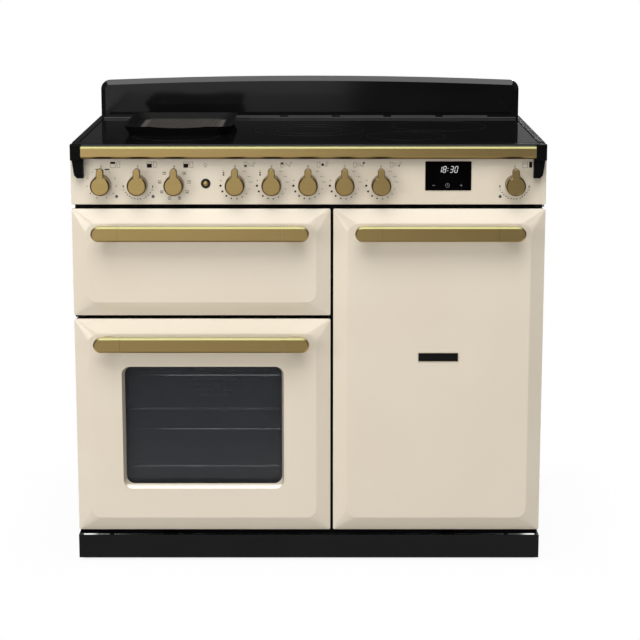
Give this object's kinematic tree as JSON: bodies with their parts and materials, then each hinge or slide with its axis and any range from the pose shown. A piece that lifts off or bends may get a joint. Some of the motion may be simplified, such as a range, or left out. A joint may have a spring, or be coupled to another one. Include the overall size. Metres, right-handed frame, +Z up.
{
  "type": "induction range cooker",
  "caption": "Free-standing induction range cooker with a glide-out grill, a glazed oven, a tall oven, rotary controls, a clock, a front rail, a splashback and a loose griddle.",
  "frame": {"origin": "on the floor, under the middle of the whole cooker", "axes": "+X to the right seen from the front, +Y to the back, +Z up"},
  "size_m": [0.992, 0.662, 0.999],
  "materials": {
    "cream_enamel": "gloss",
    "black_enamel": "gloss",
    "cavity_enamel": "gloss",
    "brass": "satin",
    "badge_plate": "satin",
    "hob_glass": "gloss",
    "window_glass": "gloss",
    "lamp_glass": "gloss",
    "display_glass": "gloss",
    "indicator_lens": "gloss",
    "zinc_steel": "satin",
    "fan_steel": "satin",
    "chrome_wire": "gloss",
    "mineral_wool": "matte",
    "seal_rubber": "matte",
    "cast_iron": "matte",
    "black_plastic": "matte",
    "coil_aluminium": "satin"
  },
  "bodies": {
    "cabinet": {"fascia": "cream_enamel", "front_frame": "black_enamel", "side_panels": "black_enamel", "plinth": "black_enamel", "hob_tray": "black_enamel", "hob_vent_strip": "black_enamel", "hob_end_caps": "black_enamel", "splashback": "black_enamel", "hinge_brackets": "black_enamel", "oven_cavity": "cavity_enamel", "tall_cavity": "cavity_enamel", "grill_cavity": "cavity_enamel", "fan_covers": "cavity_enamel", "hob_rail": "brass", "hob_glass": "hob_glass", "oven_lamp": "lamp_glass", "clock_display": "display_glass", "indicator_lenses": "indicator_lens", "base_tray": "zinc_steel", "rear_panel": "zinc_steel", "grill_runner_outer": "zinc_steel", "fan_motors": "zinc_steel", "heating_elements": "fan_steel", "shelf_ladders": "chrome_wire", "wire_shelves": "chrome_wire", "cavity_insulation": "mineral_wool", "door_seals": "seal_rubber", "control_switches": "black_plastic", "light_button_bezel": "black_plastic", "terminal_cover": "black_plastic", "induction_coils": "coil_aluminium", "induction_generators": "coil_aluminium"},
    "oven_door": {"oven_door_skin": "cream_enamel", "oven_door_glass": "window_glass", "oven_door_body": "black_enamel", "oven_door_handle": "brass"},
    "tall_door": {"tall_door_skin": "cream_enamel", "tall_door_body": "black_enamel", "tall_door_handle": "brass", "tall_door_badge": "badge_plate"},
    "grill_drawer": {"grill_door_skin": "cream_enamel", "grill_door_body": "black_enamel", "grill_door_handle": "brass", "grill_carriage": "zinc_steel", "grill_pan": "cavity_enamel"},
    "grill_runners": {"grill_runner_middle": "zinc_steel"},
    "light_button": {"light_button": "brass"},
    "oven_fan": {"oven_fan": "fan_steel"},
    "tall_fan": {"tall_fan": "fan_steel"},
    "griddle": {"griddle": "cast_iron"},
    "levelling_feet": {"levelling_feet": "black_plastic"},
    "knob_grill": {"knob_grill": "brass"},
    "knob_oven_heat": {"knob_oven_heat": "brass"},
    "knob_oven_function": {"knob_oven_function": "brass"},
    "knob_hob_left_front": {"knob_hob_left_front": "brass"},
    "knob_hob_left_back": {"knob_hob_left_back": "brass"},
    "knob_hob_middle": {"knob_hob_middle": "brass"},
    "knob_hob_right_back": {"knob_hob_right_back": "brass"},
    "knob_hob_right_front": {"knob_hob_right_front": "brass"},
    "knob_tall_heat": {"knob_tall_heat": "brass"}
  },
  "joints": [
    {"name": "oven_door_hinge", "type": "hinge", "parent": "cabinet", "child": "oven_door", "pos_m": [-0.482, -0.249, 0.302], "axis": [0, 0, -1], "range_deg": [0, 100]},
    {"name": "tall_door_hinge", "type": "hinge", "parent": "cabinet", "child": "tall_door", "pos_m": [0.482, -0.249, 0.42], "axis": [0, 0, 1], "range_deg": [0, 100]},
    {"name": "grill_slide", "type": "slide", "parent": "cabinet", "child": "grill_drawer", "axis": [0, -1, 0], "range_m": [0, 0.36]},
    {"name": "grill_runner_slide", "type": "slide", "parent": "cabinet", "child": "grill_runners", "axis": [0, -1, 0], "range_m": [0, 0.18]},
    {"name": "light_press", "type": "slide", "parent": "cabinet", "child": "light_button", "axis": [0, 1, 0], "range_m": [0, 0.003], "stiffness_N_per_m": 400},
    {"name": "oven_fan_spin", "type": "hinge", "parent": "cabinet", "child": "oven_fan", "pos_m": [-0.225, 0.2, 0.302], "axis": [0, 1, 0], "continuous": true},
    {"name": "tall_fan_spin", "type": "hinge", "parent": "cabinet", "child": "tall_fan", "pos_m": [0.274, 0.2, 0.4195], "axis": [0, 1, 0], "continuous": true},
    {"name": "griddle_lift", "type": "slide", "parent": "cabinet", "child": "griddle", "axis": [0, 0, 1], "range_m": [0, 0.15]},
    {"name": "feet_height", "type": "slide", "parent": "cabinet", "child": "levelling_feet", "axis": [0, 0, -1], "range_m": [0, 0.025]},
    {"name": "knob_grill_turn", "type": "hinge", "parent": "cabinet", "child": "knob_grill", "pos_m": [-0.4322, -0.269, 0.8207], "axis": [0, 1, 0], "range_deg": [-150, 150]},
    {"name": "knob_oven_heat_turn", "type": "hinge", "parent": "cabinet", "child": "knob_oven_heat", "pos_m": [-0.3561, -0.269, 0.8207], "axis": [0, 1, 0], "range_deg": [0, 240]},
    {"name": "knob_oven_function_turn", "type": "hinge", "parent": "cabinet", "child": "knob_oven_function", "pos_m": [-0.28, -0.269, 0.8207], "axis": [0, 1, 0], "continuous": true},
    {"name": "knob_hob_left_front_turn", "type": "hinge", "parent": "cabinet", "child": "knob_hob_left_front", "pos_m": [-0.1532, -0.269, 0.8207], "axis": [0, 1, 0], "range_deg": [0, 315]},
    {"name": "knob_hob_left_back_turn", "type": "hinge", "parent": "cabinet", "child": "knob_hob_left_back", "pos_m": [-0.0771, -0.269, 0.8207], "axis": [0, 1, 0], "range_deg": [0, 315]},
    {"name": "knob_hob_middle_turn", "type": "hinge", "parent": "cabinet", "child": "knob_hob_middle", "pos_m": [-0.001, -0.269, 0.8207], "axis": [0, 1, 0], "range_deg": [0, 315]},
    {"name": "knob_hob_right_back_turn", "type": "hinge", "parent": "cabinet", "child": "knob_hob_right_back", "pos_m": [0.0751, -0.269, 0.8207], "axis": [0, 1, 0], "range_deg": [0, 315]},
    {"name": "knob_hob_right_front_turn", "type": "hinge", "parent": "cabinet", "child": "knob_hob_right_front", "pos_m": [0.1512, -0.269, 0.8207], "axis": [0, 1, 0], "range_deg": [0, 315]},
    {"name": "knob_tall_heat_turn", "type": "hinge", "parent": "cabinet", "child": "knob_tall_heat", "pos_m": [0.4301, -0.269, 0.8207], "axis": [0, 1, 0], "range_deg": [0, 240]}
  ],
  "couplings": [
    {"joint": "grill_runner_slide", "follows": "grill_slide", "ratio": 0.5}
  ]
}
